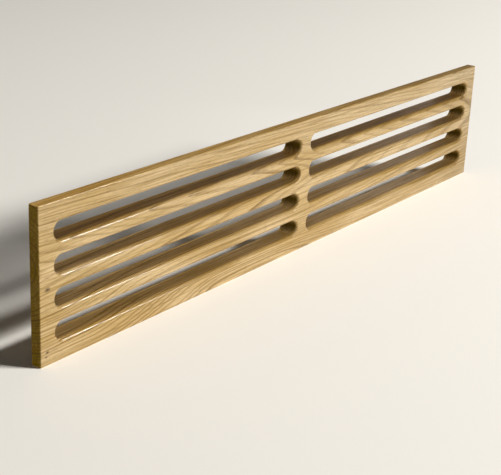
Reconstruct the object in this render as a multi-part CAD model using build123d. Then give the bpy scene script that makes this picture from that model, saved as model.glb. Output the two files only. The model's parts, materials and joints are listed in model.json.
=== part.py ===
"""Wooden ventilation grille, milled from one solid oak board.

The front is a rectangular plate. A rebate all round its back leaves a smaller core, which plugs into a cut-out,
and the plate's overhanging lip seats on the surface around that cut-out and stands proud of it.
Rows of round-ended slots run right through plate and core, with their front mouths rounded over.

Millimetres. The origin is the centre of the seat plane: +X along the grain, +Y into the cut-out, +Z up.
"""
import os

from build123d import *

# Slots and the wood between them
slot_length = 264.0
slot_width = 12.0
slot_rows = 4
slot_columns = 2
slat_width = 10.0
centre_bar = 14.0

# Plate, core and rebate
core_wall = 7.0
lip = 7.0
plate_thickness = 8.0
core_depth = 8.0

# Edges
mouth_round = 3.0
arris_round = 1.0
back_ease = 0.5

# Places that follow from the sizes above
column_pitch = slot_length + centre_bar
row_pitch = slot_width + slat_width
core_length = slot_columns * column_pitch - centre_bar + 2 * core_wall
core_height = slot_rows * row_pitch - slat_width + 2 * core_wall
plate_length = core_length + 2 * lip
plate_height = core_height + 2 * lip


def rebated_board():
    """The board before slotting: eased plate in front of the seat plane, core behind it."""
    with BuildPart() as board:
        with BuildSketch(Plane.XZ):
            Rectangle(plate_length, plate_height)
        extrude(amount=plate_thickness)
        front_edges = board.faces().sort_by(Axis.Y).first.edges()
        corner_edges = board.edges().filter_by(Axis.Y)
        fillet(front_edges + corner_edges, arris_round)
        with BuildSketch(Plane.XZ):
            Rectangle(core_length, core_height)
        extrude(amount=-core_depth)
        chamfer(board.faces().sort_by(Axis.Y).last.edges(), back_ease)
    return board.part


def slotted(board):
    """Cut the slots through the board, round their front mouths and break their back edges."""
    with BuildPart() as grille:
        add(board)
        with BuildSketch(Plane.XZ.offset(plate_thickness)):
            with GridLocations(column_pitch, row_pitch, slot_columns, slot_rows):
                SlotOverall(slot_length, slot_width)
        extrude(amount=-(plate_thickness + core_depth), mode=Mode.SUBTRACT)
        front = grille.faces().sort_by(Axis.Y).first
        fillet(edges_of(front.inner_wires()), mouth_round)
        back = grille.faces().sort_by(Axis.Y).last
        chamfer(edges_of(back.inner_wires()), back_ease)
    return grille.part


def edges_of(wires):
    return ShapeList(edge for wire in wires for edge in wire.edges())


grille_panel = slotted(rebated_board())
grille_panel.label = "grille_panel"
os.makedirs("parts", exist_ok=True)
export_step(grille_panel, "parts/grille_panel.step")
print("plate", plate_length, "x", plate_height, "core", core_length, "x", core_height)
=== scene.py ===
# %% [markdown]
# A wooden ventilation grille
#
# The real thing is one oak board. A router cuts a rebate round its back, so that a thin plate overhangs a
# smaller core that plugs into a cut-out, and then cuts two columns of round-ended slots through both.
# This lesson models that board again with fine, smooth edges, and gives it a lacquered oak that is solid:
# the same rings run through the face, the edges and the slot walls.

# %% Load the frame
import json
from math import atan, pi, radians

import bmesh
import bpy
from mathutils import Matrix, Vector


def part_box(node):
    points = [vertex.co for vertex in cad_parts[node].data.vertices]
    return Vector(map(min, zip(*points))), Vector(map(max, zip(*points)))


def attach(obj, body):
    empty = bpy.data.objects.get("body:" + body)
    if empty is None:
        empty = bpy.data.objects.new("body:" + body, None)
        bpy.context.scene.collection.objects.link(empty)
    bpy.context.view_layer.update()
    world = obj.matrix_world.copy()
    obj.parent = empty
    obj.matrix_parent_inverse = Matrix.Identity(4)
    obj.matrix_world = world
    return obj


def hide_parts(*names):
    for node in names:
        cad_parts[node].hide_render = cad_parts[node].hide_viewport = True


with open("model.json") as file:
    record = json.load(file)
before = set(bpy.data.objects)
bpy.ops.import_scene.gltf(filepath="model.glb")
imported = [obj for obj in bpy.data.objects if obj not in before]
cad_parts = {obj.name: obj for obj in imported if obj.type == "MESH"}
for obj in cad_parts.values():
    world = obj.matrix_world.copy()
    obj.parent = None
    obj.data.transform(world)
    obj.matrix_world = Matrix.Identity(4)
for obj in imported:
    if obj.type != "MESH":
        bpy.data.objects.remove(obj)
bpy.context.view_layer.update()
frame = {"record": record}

# %% [markdown]
# The sizes. The outer box and the places of the slots are read from the loaded frame, so the new mesh can't
# drift from the CAD part. The frame's openings are boxes that lie well inside the slots, so they give each
# slot's centre but not its size: the cutter's width, the slot's length and the small edge shapes are
# written here, in metres.

# %% Sizes of the board and its slots
mm = 0.001
low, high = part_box("grille_panel")
front = low.y
back = high.y
seat = 0.0                      # the back of the plate's lip, on which the grille seats
plate_length = high.x - low.x
plate_height = high.z - low.z
lip = 7 * mm                    # how far the plate overhangs the core
slot_length = 264 * mm
slot_width = 12 * mm
mouth_round = 3 * mm            # the rounded front edge of each slot
arris_round = 1 * mm            # the plate's outer front edges
back_ease = 0.5 * mm            # the small chamfers at the back
slot_centres = []
for opening in frame["record"]["physics"]["openings"]:
    near, far = (Vector(corner) for corner in opening["box_m"])
    slot_centres.append((near + far) / 2)
print("plate", round(plate_length / mm), "x", round(plate_height / mm), "mm,", len(slot_centres), "slots")

# %% [markdown]
# The board without its slots. It could be two boxes joined by a boolean, but one box is cleaner: inset its
# back face by the width of the lip, then extrude the inner part. That is the rebate, with no seam and no
# stray faces. The outer edges are then bevelled in several segments, because a sharp edge on real wood
# always has a small round that catches the light.

# %% Box, rebate and rounded edges
SAME_PLACE = 0.01 * mm          # tolerance when edges are found by their place

def verts_in(geometry):
    """Only the vertices out of an operator's mixed result."""
    return [item for item in geometry if isinstance(item, bmesh.types.BMVert)]

def at_depth(edge, depth):
    """True where an edge lies in the plane at this depth."""
    return all(abs(vert.co.y - depth) < SAME_PLACE for vert in edge.verts)

def plate_corner(edge):
    """True for the four short edges that run from the plate's front to its seat."""
    outermost = all(abs(abs(vert.co.x) - plate_length / 2) < SAME_PLACE for vert in edge.verts)
    return outermost and abs(edge.verts[0].co.y - edge.verts[1].co.y) > mm

bm = bmesh.new()
box = bmesh.ops.create_cube(bm, size=1.0)
bmesh.ops.scale(bm, vec=(plate_length, seat - front, plate_height), verts=box["verts"])
bmesh.ops.translate(bm, vec=(0, (seat + front) / 2, 0), verts=box["verts"])

plate_back = max(bm.faces, key=lambda face: face.calc_center_median().y)
bmesh.ops.inset_region(bm, faces=[plate_back], thickness=lip, use_even_offset=True)
core = bmesh.ops.extrude_face_region(bm, geom=[plate_back])
bmesh.ops.translate(bm, vec=(0, back - seat, 0), verts=verts_in(core["geom"]))
bmesh.ops.delete(bm, geom=[plate_back], context="FACES_ONLY")     # the old face is now inside the wood

arrises = [edge for edge in bm.edges if at_depth(edge, front) or plate_corner(edge)]
bmesh.ops.bevel(bm, geom=arrises, offset=arris_round, offset_type="OFFSET", affect="EDGES",
                segments=6, profile=0.5, material=-1)
core_rim = [edge for edge in bm.edges if at_depth(edge, back)]
bmesh.ops.bevel(bm, geom=core_rim, offset=back_ease, offset_type="OFFSET", affect="EDGES",
                segments=1, profile=0.5, material=-1)
print("board without slots:", len(bm.faces), "faces,", round(bm.calc_volume() / mm ** 3), "mm3")

# %% [markdown]
# One slot. The router leaves a tunnel with the same section all round: a quarter-round at the front, a
# straight wall, and a tiny chamfer at the back. So the section is drawn once, above the centre of the
# slot's left end, by spinning a single vertex for the quarter-round and extruding it for the rest. Then the
# section travels as the cutter did: half a turn, a straight run, half a turn, and the run back to where it
# began.

# %% One slot's walls
run = slot_length - slot_width
slot_radius = slot_width / 2
MOUTH_STEPS = 10                # segments of the quarter-round
END_STEPS = 32                  # segments of half a turn
MERGE = 0.001 * mm              # points nearer than this become one

def edges_in(geometry):
    """Only the edges out of an operator's mixed result."""
    return [item for item in geometry if isinstance(item, bmesh.types.BMEdge)]

def extended(edges, step):
    """Extrude a chain of edges by one straight step, and give back its far end."""
    grown = bmesh.ops.extrude_edge_only(bm, edges=edges)["geom"]
    bmesh.ops.translate(bm, vec=step, verts=verts_in(grown))
    return edges_in(grown)

def turned(edges, centre):
    """Carry a chain of edges half a turn round one end of the slot."""
    half_turn = bmesh.ops.spin(bm, geom=edges, cent=centre, axis=(0, 1, 0), angle=-pi, steps=END_STEPS)
    return edges_in(half_turn["geom_last"])

def cut_slot(centre):
    """Make the walls of one slot round its centre, open at the front and the back."""
    left = Vector((centre.x - run / 2, 0, centre.z))
    right = left + Vector((run, 0, 0))
    old_edges = set(bm.edges)
    mouth_top = left.z + slot_radius + mouth_round
    mouth = bm.verts.new((left.x, front, mouth_top))
    quarter = bmesh.ops.spin(bm, geom=[mouth], cent=(left.x, front + mouth_round, mouth_top),
                             axis=(1, 0, 0), angle=pi / 2, steps=MOUTH_STEPS)
    tip = verts_in(quarter["geom_last"])
    for step in ((0, back - back_ease - front - mouth_round, 0), (0, back_ease, back_ease)):
        tip = bmesh.ops.extrude_vert_indiv(bm, verts=tip)["verts"]
        bmesh.ops.translate(bm, vec=step, verts=tip)
    section = [edge for edge in bm.edges if edge not in old_edges]
    low_left = turned(section, left)
    low_right = extended(low_left, (run, 0, 0))
    high_right = turned(low_right, right)
    extended(high_right, (-run, 0, 0))

for centre in slot_centres:
    cut_slot(centre)
bmesh.ops.remove_doubles(bm, verts=bm.verts, dist=MERGE)
print("with the slots' walls:", len(bm.faces), "faces")

# %% [markdown]
# The slots' walls still pass through two closed faces. Those two faces are taken off, and each side is
# filled again between its outline and the eight slot mouths. A triangle fill reads the loops inside the
# outline as holes, so no boolean is needed. At the end every edge should have exactly two faces, and the
# volume should be the CAD's.

# %% Close the front and the back round the slots
covers = [face for face in bm.faces
          if all(at_depth(edge, front) or at_depth(edge, back) for edge in face.edges)]
bmesh.ops.delete(bm, geom=covers, context="FACES_ONLY")
for depth in (front, back):
    rims = [edge for edge in bm.edges if edge.is_boundary and at_depth(edge, depth)]
    bmesh.ops.triangle_fill(bm, use_beauty=True, use_dissolve=False, edges=rims,
                            normal=(0, depth - seat, 0))
bmesh.ops.recalc_face_normals(bm, faces=bm.faces)
open_edges = sum(not edge.is_manifold for edge in bm.edges)
print("closed panel:", len(bm.faces), "faces,", open_edges, "open edges,",
      round(bm.calc_volume() / mm ** 3), "mm3")

# %% [markdown]
# The mesh becomes an object. Smooth shading alone would bend the light across the flat faces, because each
# vertex blends the normals of all the faces round it. Edges that turn by more than 30 degrees are marked
# sharp, and the Weighted Normal modifier lets the large flat faces decide, so the flats stay flat and only
# the rounds shade round.

# %% The panel object
panel_mesh = bpy.data.meshes.new("oak_panel")
bm.to_mesh(panel_mesh)
bm.free()
panel_mesh.shade_smooth()
panel_mesh.set_sharp_from_angle(angle=radians(30))
panel = bpy.data.objects.new("oak_panel", panel_mesh)
bpy.context.scene.collection.objects.link(panel)
flats = panel.modifiers.new("flat faces stay flat", "WEIGHTED_NORMAL")
flats.keep_sharp = True
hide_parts("grille_panel")
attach(panel, "root")
print("panel stands for grille_panel:", len(panel_mesh.polygons), "polygons")

# %% [markdown]
# Helpers for every material below. Colours are picked as sRGB hex values, as a colour picker shows them,
# but a shader works in linear light, so one function converts them. Another adds a node, sets its
# properties, and fills its inputs: a plain value is set on the socket, and a socket is linked to it. The
# third starts a material with an empty tree.

# %% Helpers for colours and nodes
def linear(hex_colour):
    """An sRGB hex colour as linear RGBA."""
    parts = [int(hex_colour[i:i + 2], 16) / 255 for i in (1, 3, 5)]
    return tuple(c / 12.92 if c <= 0.04045 else ((c + 0.055) / 1.055) ** 2.4 for c in parts) + (1.0,)

def add(tree, kind, inputs, out=None, **settings):
    """Add one shader node with its settings and links; give back the named output, or the first in use."""
    node = tree.nodes.new("ShaderNode" + kind)
    for name, value in settings.items():
        setattr(node, name, value)
    for name, value in inputs.items():
        if isinstance(value, bpy.types.NodeSocket):
            tree.links.new(value, node.inputs[name])
        else:
            node.inputs[name].default_value = value
    if out:
        return node.outputs[out]
    return next((socket for socket in node.outputs if socket.enabled), None)

def new_material(name):
    """A node material with an empty tree."""
    material = bpy.data.materials.new(name)
    material.use_nodes = True
    material.node_tree.nodes.clear()
    return material

print("a tan in linear light:", [round(c, 3) for c in linear("#CBA871")[:3]])

# %% [markdown]
# Oak, first the growth rings. A board is a flat cut through a stack of rings, so the material keeps the
# tree: each point's distance from the pith says which ring it is in. The pith lay behind this face and the
# saw ran a few degrees off it, which is why the rings meet the face as long nested arches. A Mapping node
# puts the pith in its place, and a stretched noise bends the trunk, because no tree is straight. The bend
# is gentle over most of the board and strong near its lower left, where a branch once grew.

# %% Oak: distance from the pith
oak = new_material("oak_planed_and_satin_lacquered")
tree = oak.node_tree
metres = add(tree, "TexCoord", {}, out="Object")
point = add(tree, "VectorMath", {0: metres, "Scale": 1 / mm}, operation="SCALE")     # in millimetres

PITH_DEPTH = 36.0               # behind the middle of the face, in mm
PITH_HEIGHT = 11.0              # above it
SAW_SLOPE = 0.07                # how much the face runs away from the pith per mm to the right
from_pith = (0, -front / mm - PITH_DEPTH, -PITH_HEIGHT)
trunk = add(tree, "Mapping", {"Vector": point, "Location": from_pith,
                              "Rotation": (0, 0, -atan(SAW_SLOPE))}, vector_type="POINT")

BRANCH = (-150.0, 0.0, -58.0)   # where the rings are most disturbed, in mm
REACH = (230.0, 60.0, 62.0)     # how far the branch disturbs them along each axis, in mm
CALM, WILD = 3.5, 14.0          # how far the rings are pushed aside, in mm
BEND = (130.0, 24.0, 16.0)      # length, depth and height of one bend, in mm
BEND_SEED = 3.0
to_branch = add(tree, "VectorMath", {0: point, 1: BRANCH}, operation="SUBTRACT")
reaches = add(tree, "VectorMath", {0: to_branch, 1: REACH}, operation="DIVIDE")
apart = add(tree, "VectorMath", {0: reaches}, operation="LENGTH")
push = add(tree, "MapRange", {"Value": apart, "To Min": WILD, "To Max": CALM},
           interpolation_type="SMOOTHSTEP")
bends = add(tree, "VectorMath", {0: point, 1: BEND}, operation="DIVIDE")
noise = add(tree, "TexNoise", {"Vector": bends, "W": BEND_SEED, "Scale": 1.0, "Detail": 0.6,
                               "Roughness": 0.4}, out="Color", noise_dimensions="4D")
sway = add(tree, "VectorMath", {0: noise, 1: (0.5, 0.5, 0.5)}, operation="SUBTRACT")
swing = add(tree, "VectorMath", {0: sway, "Scale": push}, operation="SCALE")
bent = add(tree, "VectorMath", {0: trunk, 1: swing}, operation="ADD")
across = add(tree, "VectorMath", {0: bent, 1: (0, 1, 1)}, operation="MULTIPLY")
radius = add(tree, "VectorMath", {0: across}, operation="LENGTH")
print("pith", PITH_DEPTH, "mm behind the face, sawn", round(SAW_SLOPE * 100), "mm off in 100")

# %% [markdown]
# Near the branch the rings also swell outwards. Two smooth humps are added to the distance, and each one
# turns the lines up to the right, like flames. A stronger noise could do that too, but its lines would
# wobble. The humps die out towards the back of the board, so the slot walls keep long lines that run almost
# straight.

# %% Oak: swellings near the branch
# Start, crest and end along the board, level, half width, and how far the rings swell there, all in mm
SWELLINGS = ((-245, -110, 200, -45, 24, 18.0), (-270, -180, 40, -21, 15, 9.0))
along_x = add(tree, "SeparateXYZ", {0: point}, out="X")
along_y = add(tree, "SeparateXYZ", {0: point}, out="Y")
along_z = add(tree, "SeparateXYZ", {0: point}, out="Z")
shallow = add(tree, "MapRange", {"Value": along_y, "From Min": front / mm, "From Max": back / mm,
                                 "To Min": 1.0, "To Max": 0.0})
for start, crest, end, level, half_width, height in SWELLINGS:
    rise = add(tree, "MapRange", {"Value": along_x, "From Min": start, "From Max": crest},
               interpolation_type="SMOOTHSTEP")
    fall = add(tree, "MapRange", {"Value": along_x, "From Min": crest, "From Max": end,
                                  "To Min": height, "To Max": 0.0}, interpolation_type="SMOOTHSTEP")
    off_level = add(tree, "Math", {0: along_z, 1: level}, operation="SUBTRACT")
    off_level = add(tree, "Math", {0: off_level}, operation="ABSOLUTE")
    close = add(tree, "MapRange", {"Value": off_level, "From Max": half_width,
                                   "To Min": 1.0, "To Max": 0.0}, interpolation_type="SMOOTHSTEP")
    ridge = add(tree, "Math", {0: rise, 1: fall}, operation="MULTIPLY")
    ridge = add(tree, "Math", {0: ridge, 1: shallow}, operation="MULTIPLY")
    radius = add(tree, "Math", {0: ridge, 1: close, 2: radius}, operation="MULTIPLY_ADD")
print(len(SWELLINGS), "swellings")

# %% [markdown]
# A ring starts with a band of wide vessels, the porous earlywood, which looks like a dark line with a sharp
# inner edge that fades outwards into dense, pale latewood. The fraction of the ring number gives that
# saw-tooth. Good and bad years differ, so each whole ring number gets its own strength from white noise,
# and a slow noise along the radius makes some rings wider than others.

# %% Oak: the rings
RING = 2.3                      # mean ring width in mm
EARLY = 0.46                    # share of a ring that is earlywood
ONSET = 0.08                    # share of a ring in which the dark line sets in
BAD_YEAR = 0.3                  # the faintest line, where the boldest is 1
DRIFT, DRIFT_RATE = 1.6, 0.37   # how far the count of rings drifts, in rings, and how often per ring
years = add(tree, "Math", {0: radius, 1: 1 / RING}, operation="MULTIPLY")
uneven = add(tree, "TexNoise", {"W": years, "Scale": DRIFT_RATE, "Detail": 0.0}, noise_dimensions="1D")
ring_number = add(tree, "Math", {0: uneven, 1: DRIFT, 2: years}, operation="MULTIPLY_ADD")
in_ring = add(tree, "Math", {0: ring_number}, operation="FRACT")
whole_ring = add(tree, "Math", {0: ring_number}, operation="FLOOR")
fade = add(tree, "MapRange", {"Value": in_ring, "From Max": EARLY, "To Min": 1.0, "To Max": 0.0})
onset = add(tree, "MapRange", {"Value": in_ring, "From Max": ONSET})
luck = add(tree, "TexWhiteNoise", {"W": whole_ring}, out="Value", noise_dimensions="1D")
year = add(tree, "MapRange", {"Value": luck, "To Min": BAD_YEAR, "To Max": 1.0})
band = add(tree, "Math", {0: fade, 1: onset}, operation="MULTIPLY")
early = add(tree, "Math", {0: band, 1: year}, operation="MULTIPLY")
print("rings of about", RING, "mm")

# %% [markdown]
# Next what is finer than a ring. Vessels are open tubes along the grain, so a planed face cuts them into
# short dark dashes, crowded in the earlywood. Real ones are about 0.3 mm wide, under half a pixel here, so
# they are drawn a third coarser. Fibres give long faint streaks, and slow blotches shift the tone between
# honey and a paler tan. Each is one noise, squeezed across the grain by real sizes in millimetres.

# %% Oak: vessels, fibres and blotches
VESSEL = (6.0, 0.40, 0.40)      # length and width in mm, coarser than the real 0.3 mm so that they show
FIBRE = (70.0, 1.6, 1.6)
BLOTCH = (95.0, 40.0, 17.0)
OPENING, OPEN = 0.53, 0.68      # noise values where a vessel starts to show and where it is fully open
SPARSE = 0.22                   # how strongly vessels show in the latewood, where the earlywood has 1
along = add(tree, "VectorMath", {0: point, 1: VESSEL}, operation="DIVIDE")
vessel_noise = add(tree, "TexNoise", {"Vector": along, "Scale": 1.0, "Detail": 1.0})
dashes = add(tree, "MapRange", {"Value": vessel_noise, "From Min": OPENING, "From Max": OPEN})
crowding = add(tree, "MapRange", {"Value": early, "To Min": SPARSE, "To Max": 1.0})
vessels = add(tree, "Math", {0: dashes, 1: crowding}, operation="MULTIPLY")
along = add(tree, "VectorMath", {0: point, 1: FIBRE}, operation="DIVIDE")
fibres = add(tree, "TexNoise", {"Vector": along, "Scale": 1.0, "Detail": 3.0, "Roughness": 0.6})
along = add(tree, "VectorMath", {0: point, 1: BLOTCH}, operation="DIVIDE")
blotches = add(tree, "TexNoise", {"Vector": along, "Scale": 1.0, "Detail": 2.0})
print("vessels", VESSEL, "fibres", FIBRE, "blotches", BLOTCH)

# %% [markdown]
# Two marks on this board. The short edges and the slots' round ends are end grain, which drinks the
# lacquer unevenly and turns deep brown; the brown is darker still as painted shade on the slots' round
# ends, which lie deep in the board. The normal's share along X says how much a surface is end grain, and a
# noise thins the stain a little here and there. Near the left edge sit three pin knots, soft brown smudges
# a little longer along the grain, drawn by the distance from a point.

# %% Oak: end grain with painted shade, and pin knots
END_SHARE = 0.4                 # the normal's share along X from which end grain shows
SOAK_PATCH = 9.0                # size of a patch that drank more or less, in mm
LEAST_SOAKED = 0.97             # strength of the stain where the wood drank least
DIM, BRIGHT = 0.35, 0.65        # most values of a soft noise lie between these
normal = add(tree, "TexCoord", {}, out="Normal")
lengthways = add(tree, "SeparateXYZ", {0: normal}, out="X")
facing = add(tree, "Math", {0: lengthways}, operation="ABSOLUTE")
across_grain = add(tree, "MapRange", {"Value": facing, "From Min": END_SHARE, "From Max": 1.0})
thirst = add(tree, "TexNoise", {"Vector": point, "Scale": 1 / SOAK_PATCH, "Detail": 2.0})
soak = add(tree, "MapRange", {"Value": thirst, "From Min": DIM, "From Max": BRIGHT,
                              "To Min": LEAST_SOAKED})
# mask for the end grain's stain, which also carries the painted shade of the slots' round ends
end_grain_and_shade = add(tree, "Math", {0: across_grain, 1: soak}, operation="MULTIPLY")

PIN_KNOTS = ((-278.6, -1.9, 1.1), (-279.5, -43.6, 0.65), (-280.6, -46.5, 0.5))    # x, z, radius in mm
SQUEEZE = 0.6                   # lengths along the grain count for less, so a knot is longer that way
SMUDGE = 1.9                    # a knot has faded out at this many times its radius
spots = []
for x, z, size in PIN_KNOTS:
    flat = add(tree, "VectorMath", {0: point, 1: (SQUEEZE, 0, 1), 2: (-SQUEEZE * x, 0, -z)},
               operation="MULTIPLY_ADD")
    distance = add(tree, "VectorMath", {0: flat}, operation="LENGTH")
    spots.append(add(tree, "MapRange", {"Value": distance, "From Max": SMUDGE * size,
                                        "To Min": 1.0, "To Max": 0.0}))
knots = spots[0]
for spot in spots[1:]:
    knots = add(tree, "Math", {0: knots, 1: spot}, operation="MAXIMUM")
print(len(PIN_KNOTS), "pin knots")

# %% [markdown]
# The colours are laid one over another, from the palest wood to the darkest marks, each with its own mask
# as the factor. The ring lines are bolder near the branch and fainter where the wood is pale. End grain
# comes last and multiplies what is there, as a stain does, so its rings still show; that brown is partly
# the real stain and partly painted shade for the slots' round ends.

# %% Oak: colour
HONEY, PALE, STREAK = linear("#D1AF70"), linear("#E3C693"), linear("#A07D2C")
EARLYWOOD, VESSEL_BROWN = linear("#8E6A16"), linear("#6C4D10")
# the end grain's brown is partly its real stain and partly painted shade for the slots' round ends
KNOT_BROWN, END_STAIN_AND_SHADE = linear("#4A2C06"), linear("#6C6410")
FACTOR, UNDER, OVER = 0, 6, 7   # the Mix node's sockets when it mixes colours
FAINT = 0.6                     # strength of the ring lines in the palest wood
NEAR_BRANCH = 0.3               # within this share of the branch's reach the lines are boldest
BOLDEST, BOLD = 2.4, 1.4        # strength of the lines there and beyond its reach, cut off at a full mix
FIRST_FIBRE, FULL_FIBRE = 0.42, 0.70    # noise values where a streak starts and where it is strongest
FIBRE_STRENGTH = 0.8            # how much of the streak's colour is mixed in there

tone = add(tree, "MapRange", {"Value": blotches, "From Min": DIM, "From Max": BRIGHT})
wood = add(tree, "Mix", {FACTOR: tone, UNDER: HONEY, OVER: PALE}, data_type="RGBA")
streaks = add(tree, "MapRange", {"Value": fibres, "From Min": FIRST_FIBRE, "From Max": FULL_FIBRE,
                                 "To Max": FIBRE_STRENGTH})
patchy = add(tree, "MapRange", {"Value": blotches, "From Min": DIM, "From Max": BRIGHT,
                                "To Min": 1.0, "To Max": FAINT})
bold = add(tree, "MapRange", {"Value": apart, "From Min": NEAR_BRANCH, "To Min": BOLDEST, "To Max": BOLD})
lines = add(tree, "Math", {0: early, 1: patchy}, operation="MULTIPLY")
lines = add(tree, "Math", {0: lines, 1: bold}, operation="MULTIPLY")
layers = ((streaks, STREAK), (lines, EARLYWOOD), (vessels, VESSEL_BROWN), (knots, KNOT_BROWN))
for mask, colour in layers:
    wood = add(tree, "Mix", {FACTOR: mask, UNDER: wood, OVER: colour}, data_type="RGBA")
# painted shade: end grain is multiplied by that darker brown, which also shades the slots' round ends
wood = add(tree, "Mix", {FACTOR: end_grain_and_shade, UNDER: wood, OVER: END_STAIN_AND_SHADE}, data_type="RGBA",
           blend_type="MULTIPLY")
print(len(layers), "layers of colour over the plain wood, and a stain on its end grain")

# %% [markdown]
# Satin lacquer over the wood is a clear film of IOR 1.5. It gives fairly tight highlights on the dense
# latewood, duller ones where vessels break the film, and hardly any on end grain, which soaks it up. A Bump
# node presses the vessels in a little, in real millimetres.

# %% Oak: lacquer and relief
LACQUER_IOR = 1.5
SLEEK, PITTED = 0.16, 0.45      # roughness on dense latewood and on open vessels
FULL_FILM, SOAKED = 0.5, 0.06   # how much the film reflects on side grain and on end grain
VESSEL_DEPTH = 0.05 * mm
RELIEF = 0.3                    # how much of the full bump shows
pitting = add(tree, "Math", {0: early, 1: vessels}, operation="MAXIMUM")
gloss = add(tree, "MapRange", {"Value": pitting, "To Min": SLEEK, "To Max": PITTED})
relief = add(tree, "Bump", {"Height": vessels, "Strength": RELIEF, "Distance": VESSEL_DEPTH}, invert=True)
film = add(tree, "MapRange", {"Value": end_grain_and_shade, "To Min": FULL_FILM, "To Max": SOAKED})
surface = add(tree, "BsdfPrincipled", {"Base Color": wood, "Roughness": gloss, "IOR": LACQUER_IOR,
                                       "Specular IOR Level": film, "Normal": relief})
add(tree, "OutputMaterial", {"Surface": surface})
panel_mesh.materials.append(oak)
print(oak.name, "has", len(tree.nodes), "nodes")

# %% [markdown]
# The stage is a plain pale floor, wide enough that no view sees its edge. The grille stands on the long
# edge of its plate, as it would on a bench. The floor is matt paper, which shows a soft shadow and hardly
# any reflection.

# %% Floor
FLOOR_REACH = 15.0              # metres from the middle to each side
floor_mesh = bpy.data.meshes.new("floor")
bm = bmesh.new()
bmesh.ops.create_grid(bm, x_segments=1, y_segments=1, size=FLOOR_REACH,
                      matrix=Matrix.Translation((0, 0, low.z)))
bm.to_mesh(floor_mesh)
bm.free()
floor = bpy.data.objects.new("floor", floor_mesh)
bpy.context.scene.collection.objects.link(floor)
paper = new_material("matt_paper_floor")
matt = add(paper.node_tree, "BsdfPrincipled", {"Base Color": linear("#EFEAE0"), "Roughness": 0.85})
add(paper.node_tree, "OutputMaterial", {"Surface": matt})
floor_mesh.materials.append(paper)
print("floor at", round(low.z / mm), "mm")

# %% [markdown]
# The light. A far lamp lights the floor only, so that the floor can be pale and its bounce gives the face
# much of its light. The rest comes from a strip softbox close in front, tilted down, which reaches further
# into the lower slots than into the upper ones. A warm lamp overhead lights the top edge and the slots'
# lips. A glint lamp shows only as a reflection, the thin bright lines along the lower slot edges at the
# left, and a dim lamp low behind puts a faint grey sheen on the slot walls at the right. Two small lamps
# look straight along the board, thinner than it is, so they light its short edges and little else.

# %% Lamps
def lamp(name, direction, distance, size, watts, target=(0, 0, 0)):
    """A rectangular area light that looks at the target from a direction."""
    light = bpy.data.lights.new(name, "AREA")
    light.shape = "RECTANGLE"
    light.size, light.size_y = size
    light.energy = watts
    holder = bpy.data.objects.new(name, light)
    towards = Vector(direction).normalized()
    holder.location = Vector(target) + towards * distance
    holder.rotation_euler = towards.to_track_quat("Z", "Y").to_euler()
    holder.visible_camera = False
    bpy.context.scene.collection.objects.link(holder)
    return holder

softbox = lamp("strip softbox", direction=(0, -0.18, 0.103), distance=0.207, size=(0.70, 0.05),
               watts=0.294, target=(-0.06, 0, -0.06))
softbox.data.spread = radians(125)
glint = lamp("glint lamp", direction=(0.67, -0.57, 0.48), distance=1.2, size=(0.16, 0.06), watts=4.0,
             target=(-0.250, 0, 0))
glint.visible_diffuse = False
top = lamp("top lamp", direction=(-0.42, 0, 1.1), distance=1.19, size=(0.8, 0.2), watts=8.7)
top.data.color = linear("#FFEDC2")[:3]
back_lamp = lamp("back lamp", direction=(0.37, 0.22, 0.09), distance=0.44, size=(0.24, 0.07),
                 watts=0.014, target=(0.02, 0, -0.03))
floor_lamp = lamp("floor lamp", direction=(0.50, -0.75, 0.435), distance=5.0, size=(1.4, 0.6),
                  watts=600.0, target=(0, -0.3, low.z))
left_lamp = lamp("left end lamp", direction=(-1, 0, 0), distance=1.0, size=(0.012, 0.012), watts=2.4)
right_lamp = lamp("right end lamp", direction=(1, 0, 0), distance=1.0, size=(0.012, 0.012), watts=2.4)
lamps = (softbox, glint, top, back_lamp, floor_lamp, left_lamp, right_lamp)
print("lamps:", [holder.name for holder in lamps])

# %% [markdown]
# Light linking gives a lamp a collection of the objects that it may light. The softbox, the top lamp and
# the two end lamps light the panel only, and the floor lamp the floor only. The glint lamp and the back
# lamp have no such limit. A dim world fills in, and the Standard view transform shows the colours as they
# are, with no film curve.

# %% Light linking and world
FILL = 0.07                     # strength of the world
panel_only = bpy.data.collections.new("lit by the lamps for the panel")
panel_only.objects.link(panel)
floor_only = bpy.data.collections.new("lit by the floor lamp")
floor_only.objects.link(floor)
for holder in (softbox, top, left_lamp, right_lamp):
    holder.light_linking.receiver_collection = panel_only
floor_lamp.light_linking.receiver_collection = floor_only

world = bpy.data.worlds.new("studio")
world.use_nodes = True
sky = world.node_tree.nodes["Background"]
sky.inputs["Color"].default_value = linear("#F4F1EC")
sky.inputs["Strength"].default_value = FILL
bpy.context.scene.world = world
bpy.context.scene.view_settings.view_transform = "Standard"
print("softbox at", [round(c, 2) for c in softbox.location])

# %% [markdown]
# The camera stands where the photograph was taken from: to the left of the grille and above it, with a
# fairly long lens. Its place and its three directions come from matching the straight edges of the slots
# and the plate.

# %% Camera
PHOTO_WIDTH, FOCAL = 501, 1194.4        # image width and focal length in pixels of the photograph
eye = Vector((-0.7499, -0.4938, 0.2835))
forward = Vector((0.7635, 0.5453, -0.3460)).normalized()
right = Vector((0.5936, -0.8036, 0.0434))
right = (right - forward * right.dot(forward)).normalized()
up = right.cross(forward)
camera = bpy.data.cameras.new("photo view")
camera.sensor_width = 36.0
camera.lens = FOCAL / PHOTO_WIDTH * camera.sensor_width
viewer = bpy.data.objects.new("photo view", camera)
turn = Matrix((right, up, -forward)).transposed().to_4x4()
viewer.matrix_world = Matrix.Translation(eye) @ turn
bpy.context.scene.collection.objects.link(viewer)
bpy.context.scene.camera = viewer
print("lens", round(camera.lens, 1), "mm")
